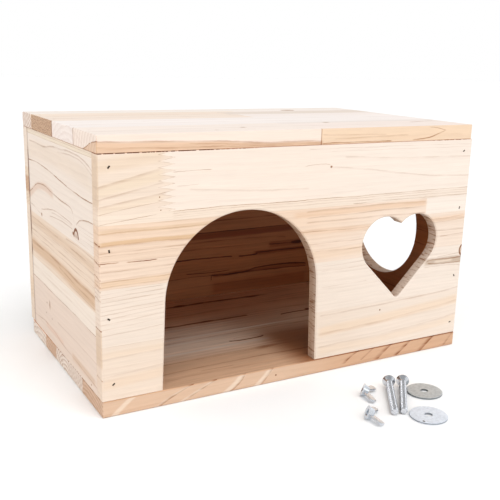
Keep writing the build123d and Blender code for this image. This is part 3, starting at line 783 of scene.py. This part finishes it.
def floor_board():
    board = Board("floor_softwood", ALONG_X, ALONG_Y, UPWARDS, [
        Stave(0, (230, 195, 166), 3.4, (30, -24), 0.16),
        Stave(37.7, (240, 211, 184), 3.4, (74, 40), 0.22),
        Stave(107.7, (236, 204, 176), 2.6, (120, -20), 0.24),
        Stave(136, (243, 218, 194), 3.6, (180, 40), 0.20),
        Stave(153.5, (240, 212, 186), 3, (180, 30), 0.20),
    ], seed=59)
    s = board.shader
    line, streak = board.line, board.streak
    front = board.near("y", FRONT)
    height, across = board.w, board.u
    for foot, middle, head, width in ((6, 13, 22, 6), (36, 47, 66, 5), (52, 66, 82, 5), (86, 96, 103, 7),
                                      (112, 119, 126, 6)):
        pale = board.band([(-1, foot), (5, middle), (12, head)], width, 0.8, height, across)
        board.stain(s.times(pale, front, 0.8), (248, 226, 204))
    for points, width, strength, soft in (
            ([(-1, 38), (5, 49), (12, 67)], 0.8, 0.8, 5), ([(-1, 55), (5, 68), (12, 84)], 0.8, 0.6, 5),
            ([(-1, 91), (5, 100), (12, 105)], 0.6, 0.6, 3), ([(-1, 117), (5, 122), (12, 128)], 0.6, 0.5, 3),
            ([(3, 190), (7, 195), (12, 206)], 0.8, 0.9, 4), ([(3, 206), (12, 219)], 0.8, 0.4, 3),
            ([(1, 222), (6, 228), (12, 237)], 0.9, 0.8, 6), ([(1, 241), (6, 248), (12, 256)], 0.9, 1.1, 5),
            ([(0, 265), (6, 272), (12, 280)], 1, 1, 6), ([(1, 290), (12, 300)], 1, 0.5, 3)):
        line(points, width, strength, soft, u=height, v=across, fade=0.8)
    board.spot(129, 5.2, 0.9, 0.8, 1.8, 0.3, across=height)
    board.settle(front)
    board.stain(s.times(front, s.ramp(across, 130, 200), 0.7), (216, 170, 134))
    top = board.near("z", FLOOR_TOP)
    board.stain(s.times(top, 0.85), (230, 189, 157))
    # Painted light: a broad pale zone across the middle of the floor's top, where light through the doorway
    # falls.
    streak([(-90, 78), (40, 80), (146, 76)], 78, 0.9, (255, 230, 207), top, 60)
    for place, end in ((98, 150), (80, 190), (70, 120), (52, 160)):
        streak([(20, place), (end, place + 1.5)], 3.2, 0.8, (252, 234, 218), top, 40)
    board.stain(s.times(top, s.fall(board.v, 36, 44), 0.6), (222, 178, 142))
    each(board.line,
         ([(0, 37.7), (300, 37.7)], 0.5, 0.7), ([(0, 107.7), (300, 107.7)], 0.6, 0.5),
         ([(85, 108.8), (127, 108.4), (165, 108.9)], 2, 0.7, 2.6))
    board.spot(126.7, 108.4, 9, 2.2, 0.9)
    each(board.line,
         ([(0, 153.5), (300, 153.5)], 0.6, 0.9), ([(123, 59.8), (138, 58.4), (153, 60.4)], 2, 4.4, 0.3),
         ([(128, 63.4), (139, 64.2), (149, 63.2)], 1, 0.4, 0.6),
         ([(60, 72), (140, 76), (240, 70)], 0.8, 0.3, 2), ([(60, 88), (150, 84), (240, 90)], 0.8, 0.3, 2),
         ([(78, 17.9), (104, 17.5)], 0.8, 0.5), ([(40, 22), (120, 25), (200, 20)], 0.8, 0.6, 2),
         ([(193, 97.4), (209, 98.8), (226, 98)], 1.8, 1.8, 0.8))
    board.spot(222.5, 100.2, 4.4, 2.6, 1.8)
    line([(112, 153.6), (160, 153.6), (206, 152)], 3, 1.1, 2, fade=20)
    each(board.spot,
         (122.5, 153.6, 8, 3.4, 1.7, 0), (142, 153.6, 5, 2.6, 0.5, 0), (162, 153.4, 5, 2.6, 0.5, 0),
         (194, 151.2, 9, 3.2, 0.9, 0))
    board.settle(top)
    end = board.near("x", LEFT)
    blocks = s.plus(s.fall(board.v, 41.6, 42.4), s.hump(board.v, (106.8, 107.6), (135.6, 136.4)))
    board.stain(end, (253, 241, 230))
    board.stain(s.times(end, blocks, 0.9), (224, 188, 158))
    board.rings(82, -10, 3.2, 0.6, 42, 107)
    board.rings(30, -60, 3, 0.4, 0, 42)
    board.rings(150, -50, 4, 0.35, 107, 180)
    board.settle(end)
    # Painted shade: the floor's top turns redder towards the back, deeper in the house.
    board.stain(s.times(top, s.ramp(board.v, 78, 146, 0, 0.9)), (246, 190, 146))
    # Painted shadow of the right jamb on the floor inside the doorway, joined with a red-brown streak in the
    # wood.
    jamb_shadow_and_streak = s.times(s.ramp(board.u, 136, 164), s.fall(board.v, 52, 84))
    jamb_shadow_and_streak = s.math("MAXIMUM", jamb_shadow_and_streak, s.times(board.band([(136, 38.2), (190, 38.8)], 7, 14), 0.8))
    board.stain(s.times(top, jamb_shadow_and_streak, 0.9), (158, 98, 57))
    # Painted shade: the inside tint grows stronger towards the back of the floor.
    depth = s.ramp(board.v, 60, 150, 0.04, 0.36)
    board.finish("floor_panel", board.inner("z", FLOOR_TOP, 1), depth)


# ---- metal
def nail_material():
    s = Shader("dull_nail_steel")
    place = s.millimetres()
    rust = s.noise(place, 1.6, 3.0)
    s.give("Base Color", s.mix(rust, linear((72, 58, 46)), linear((38, 30, 26))))
    s.give("Metallic", 0.6)
    s.give("Roughness", s.ramp(rust, 0.3, 0.7, 0.45, 0.75))
    s.bump(rust, 0.00005, 0.5)
    return s.material


def zinc_material(name, tint, dull, grain, metallic=1.0, rim=1.0, nick=None):
    """Zinc plate: bright steel with a faint crystal mottle, fine scratches and uneven gloss. rim paints
    shade on upright faces, darkening them to that share of the tint, and nick is the place of a small dent in
    world mm."""
    s = Shader(name)
    place = s.millimetres()
    mottle = s.noise(place, 0.55, 3.0, 0.6)
    fine = s.noise(place, 5.0, 2.0, 0.7)
    x, y, z = s.separate(place)
    scratches = s.noise(s.combine(s.times(x, 0.5), s.times(y, 7.0), z), 1.0, 2.0)
    pale = linear(tint)
    deep = linear(tuple(c * 0.93 for c in tint))
    colour = s.mix(s.ramp(mottle, 0.35, 0.7), pale, deep)
    # painted shade on upright faces
    if rim < 1.0:
        facing_up = s.math("ABSOLUTE", s.separate(s.coordinates["Normal"])[2])
        colour = s.mix(s.fall(facing_up, 0.3, 0.8), colour, linear(tuple(c * rim for c in tint)))
    if nick is not None:
        dent = s.fall(s.length(s.minus(x, nick[0]), s.times(s.minus(y, nick[1]), 1 / 1.3)), 0.5, 1.0)
        colour = s.mix(dent, colour, linear((70, 68, 66)))
    s.give("Base Color", colour)
    s.give("Metallic", metallic)
    gloss = s.times_plus(s.plus(s.ramp(mottle, 0.3, 0.7), scratches), 0.1, dull)
    s.give("Roughness", gloss)
    height = s.plus(s.times(fine, grain), s.times(scratches, 0.5))
    s.bump(height, 0.00004, 0.6)
    return s.material


# ---- threaded screws
SCREW_LENGTH = 45.0
HEAD_RADIUS = 4.65
HEAD_RIM = 0.35
HEAD_HEIGHT = 2.7
SHANK_RADIUS = 2.45
THREAD_PITCH = 0.8
THREAD_DEPTH = 0.44
TIP_CHAMFER = 0.6
RECESS = (4.8, 1.05, 2.1)       # span, slot width and depth of the drive recess
RECESS_START = -0.3             # the cutter begins this far outside the head
RUN_IN = (0.2, 1.2)             # where the thread starts below the head, and how far it takes to grow
PLAIN_RELIEF = 0.05             # the shank is this much thinner than the thread before it starts
AROUND = 40                     # corners of a ring
RINGS_PER_PITCH = 7
CONE_RINGS = 6


def clamp(value):
    return min(1.0, max(0.0, value))


def thread_radius(along, turn):
    """The ridged shank: the thread runs out under the head and at the chamfered tip."""
    phase = (along / THREAD_PITCH - turn) % 1.0
    ridge = clamp(1.5 * abs(2 * phase - 1) - 0.2)       # steep flanks between a flat crest and root
    start = clamp((along - HEAD_HEIGHT - RUN_IN[0]) / RUN_IN[1])
    radius = SHANK_RADIUS - THREAD_DEPTH * (1 - ridge) * start - PLAIN_RELIEF * (1 - start)
    return min(radius, SHANK_RADIUS - TIP_CHAMFER + max(0.0, SCREW_LENGTH - along))


def screw_profile():
    """(along, radius or None where the thread gives it) for each ring, from the head to the tip."""
    under_rim = HEAD_RADIUS - 0.08      # the rim is a little rounded on both sides
    rings = [(0.0, HEAD_RADIUS - 0.25), (0.04, HEAD_RADIUS - 0.1), (0.14, HEAD_RADIUS - 0.02),
             (0.24, HEAD_RADIUS - 0.02), (HEAD_RIM, under_rim)]
    for i in range(1, CONE_RINGS + 1):
        share = i / CONE_RINGS
        along = HEAD_RIM + (HEAD_HEIGHT - HEAD_RIM) * share
        rings.append((along, under_rim + (SHANK_RADIUS - under_rim) * share))
    step = THREAD_PITCH / RINGS_PER_PITCH
    count = int((SCREW_LENGTH - HEAD_HEIGHT) / step)
    rings += [(HEAD_HEIGHT + step * i, None) for i in range(1, count + 1)]
    return rings + [(SCREW_LENGTH, None)]


def drive_cutter():
    """A crossed pair of slots that narrow towards the bottom, as a closed mesh."""
    span, width, depth = RECESS
    taper = math.tan(math.radians(10))
    mesh = bmesh.new()
    levels = []
    for along in (RECESS_START, depth):
        arm, half = span / 2 - along * taper, width / 2 - along * taper
        corners = [(half, half), (half, arm), (-half, arm)]
        for _ in range(3):
            corners += [(-y, x) for x, y in corners[-3:]]
        levels.append([mesh.verts.new((x, y, along)) for x, y in corners])
    low, high = levels
    mesh.faces.new(low)
    mesh.faces.new(reversed(high))
    for i in range(len(low)):
        j = (i + 1) % len(low)
        mesh.faces.new((low[j], low[i], high[i], high[j]))
    bmesh.ops.recalc_face_normals(mesh, faces=mesh.faces)
    return mesh_object("drive_cutter", mesh)


def mesh_object(name, mesh):
    data = bpy.data.meshes.new(name)
    mesh.to_mesh(data)
    mesh.free()
    obj = bpy.data.objects.new(name, data)
    scene.collection.objects.link(obj)
    return obj


def cut(obj, cutter):
    """Takes the cutter out of the object for good."""
    boolean = obj.modifiers.new("cut", "BOOLEAN")
    boolean.object = cutter
    boolean.solver = "EXACT"
    applied = bpy.data.meshes.new_from_object(obj.evaluated_get(bpy.context.evaluated_depsgraph_get()))
    obj.modifiers.clear()
    obj.data = applied
    bpy.data.objects.remove(cutter)


def threaded_screw(name, node, body, head_place, heading):
    """A countersunk machine screw that lies on its head's rim and its tip. Its first material is the
    shank's, the second the painted shade in the thread grooves, and the third the head's."""
    mesh = bmesh.new()
    rings = []
    for along, radius in screw_profile():
        ring = []
        for i in range(AROUND):
            turn = i / AROUND
            reach = thread_radius(along, turn) if radius is None else radius
            angle = math.tau * turn
            ring.append(mesh.verts.new((reach * math.cos(angle), reach * math.sin(angle), along)))
        rings.append(ring)
    for first, second in zip(rings, rings[1:]):
        for i in range(AROUND):
            j = (i + 1) % AROUND
            face = mesh.faces.new((first[i], first[j], second[j], second[i]))
            middle = face.calc_center_median()
            # Faces deep in the thread grooves take the dark material: painted shade.
            if middle.z < HEAD_HEIGHT:
                face.material_index = 2
            elif middle.z < SCREW_LENGTH - TIP_CHAMFER and middle.xy.length < SHANK_RADIUS - THREAD_DEPTH / 2:
                face.material_index = 1
    mesh.faces.new(reversed(rings[0]))
    mesh.faces.new(rings[-1])
    bmesh.ops.recalc_face_normals(mesh, faces=mesh.faces)
    screw = mesh_object(name, mesh)
    for material in (shank_zinc, groove_shade_zinc, head_zinc):
        screw.data.materials.append(material)
    cut(screw, drive_cutter())
    slope = math.atan((HEAD_RADIUS - SHANK_RADIUS) / (SCREW_LENGTH - TIP_CHAMFER))
    ahead = math.radians(heading)
    axis = Vector((math.cos(ahead) * math.cos(slope), math.sin(ahead) * math.cos(slope), -math.sin(slope)))
    sideways = Vector((-math.sin(ahead), math.cos(ahead), 0.0))
    turn = Matrix((axis.cross(sideways) * -1, sideways, axis)).transposed().to_4x4()
    screw.data.transform(Matrix.Scale(MM, 4) @ turn)
    lowest = min(vertex.co.z for vertex in screw.data.vertices)
    across, out = head_place
    screw.data.transform(Matrix.Translation((across * MM, (out + FRONT) * MM, -lowest)))
    for polygon in screw.data.polygons:
        polygon.use_smooth = True
    screw.data.set_sharp_from_angle(angle=math.radians(34))
    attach(screw, body)
    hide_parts(node)
    return screw


# ---- camera, floor and light
def place_camera():
    """A fixed camera, given by its own right, down and forward directions and its place in metres."""
    camera = bpy.data.objects.new("camera", bpy.data.cameras.new("camera"))
    scene.collection.objects.link(camera)
    right = Vector((0.87174, -0.48927, 0.02598))
    down = Vector((-0.09980, -0.22930, -0.96820))
    forward = Vector((0.47969, 0.84146, -0.24869))
    turn = Matrix((right, -down, -forward)).transposed()
    camera.matrix_world = Matrix.Translation((-0.290883, -0.521073, 0.227846)) @ turn.to_4x4()
    camera.data.sensor_width = 36.0
    camera.data.lens = 54.88
    camera.data.clip_start = 0.02
    scene.camera = camera


def soft_box(name, place, aim, size, power):
    lamp = bpy.data.objects.new(name, bpy.data.lights.new(name, "AREA"))
    scene.collection.objects.link(lamp)
    lamp.location = place
    lamp.rotation_euler = (Vector(aim) - Vector(place)).to_track_quat("-Z", "Y").to_euler()
    lamp.data.shape = "RECTANGLE"
    lamp.data.size, lamp.data.size_y = size
    lamp.data.energy = power


def white_room():
    """A white studio whose ceiling is darker, so that bright metal has something to mirror."""
    world = bpy.data.worlds.new("white_studio")
    world.use_nodes = True
    tree = world.node_tree
    direction = add_node(tree, "TexCoord", {}, "Generated")
    upward = add_node(tree, "SeparateXYZ", {0: direction}, "Z")
    brightness = add_node(tree, "MapRange", dict(enumerate((upward, 0.3, 0.8, 1.0, 0.5))))
    background = tree.nodes["Background"].inputs
    background["Color"].default_value = (1.0, 1.0, 1.0, 1.0)
    feed(tree, background["Strength"], brightness)
    scene.world = world


def studio():
    white_room()
    soft_box("key", (0.55, -1.7, 0.75), (0.0, -0.05, 0.06), (0.9, 0.8), 2.0)
    soft_box("fill", (-1.5, -0.7, 0.7), (-0.1, 0.0, 0.08), (1.0, 0.9), 5.0)
    skylight = bpy.data.objects.new("skylight", bpy.data.lights.new("skylight", "SUN"))
    scene.collection.objects.link(skylight)
    skylight.rotation_euler = Vector((-0.06, 0.5, -1.0)).to_track_quat("-Z", "Y").to_euler()
    skylight.data.energy = 1.6
    skylight.data.angle = math.radians(50)
    skylight.visible_glossy = False     # or its edge would cut hard white patches out of the screw heads
    mesh = bpy.data.meshes.new("studio_floor")
    reach, level = 6.0, -0.0003     # metres, and just below the part, so that no two faces coincide
    corners = [(x, y, level) for x, y in ((-reach, -reach), (reach, -reach), (reach, reach), (-reach, reach))]
    mesh.from_pydata(corners, [], [(0, 1, 2, 3)])
    floor = bpy.data.objects.new("studio_floor", mesh)
    scene.collection.objects.link(floor)
    s = Shader("pale_floor")
    grain = s.noise(s.coordinates["Object"], 40.0)
    s.give("Base Color", s.mix(grain, (0.93, 0.93, 0.93, 1.0), (0.95, 0.95, 0.95, 1.0)))
    s.give("Roughness", 0.8)
    s.give("Specular IOR Level", 0.1)
    cover(floor, s.material)
    scene.view_settings.view_transform = "Standard"


# ---- put it all together
place_camera()
studio()
front_board()
left_board()
right_board()
back_board()
roof_board()
floor_board()
nail_steel = nail_material()
for name, node in nodes.items():
    if "nails" in name:
        cover(node, nail_steel)
# A rim below 1 paints shade on the upright faces of the nuts and washers.
nut_zinc = zinc_material("zinc_nuts", (236, 242, 250), 0.10, 0.4, 0.9, rim=0.85)
head_zinc = zinc_material("zinc_screw_heads", (214, 218, 224), 0.08, 0.4)
shank_zinc = zinc_material("zinc_screws", (216, 219, 225), 0.14, 0.4)
# painted shade for the thread grooves: the same zinc, darkened
groove_shade_zinc = zinc_material("zinc_thread_groove_shade", (62, 64, 68), 0.38, 0.4)
# The two washers are one zinc: the rear one painted as a darker, shaded copy, the front one as a lighter,
# bluer, lit copy.
rear_washer_zinc = zinc_material("zinc_rear_washer", (215, 221, 224), 0.40, 0.8, 0.8, rim=0.55)
front_washer_zinc = zinc_material("zinc_front_washer", (236, 244, 255), 0.40, 0.8, 0.45, rim=0.6,
                                  nick=(32.3, -187.0))
threaded_screw("threaded_screw_left", "mounting_screw_left", "screw_left", (47.2, -43.0), -124.0)
threaded_screw("threaded_screw_right", "mounting_screw_right", "screw_right", (56.6, -46.9), -129.0)
for name in ("wing_nut_rear", "wing_nut_front"):
    cover(nodes[name], nut_zinc)
cover(nodes["wide_washer_rear"], rear_washer_zinc)
cover(nodes["wide_washer_front"], front_washer_zinc)
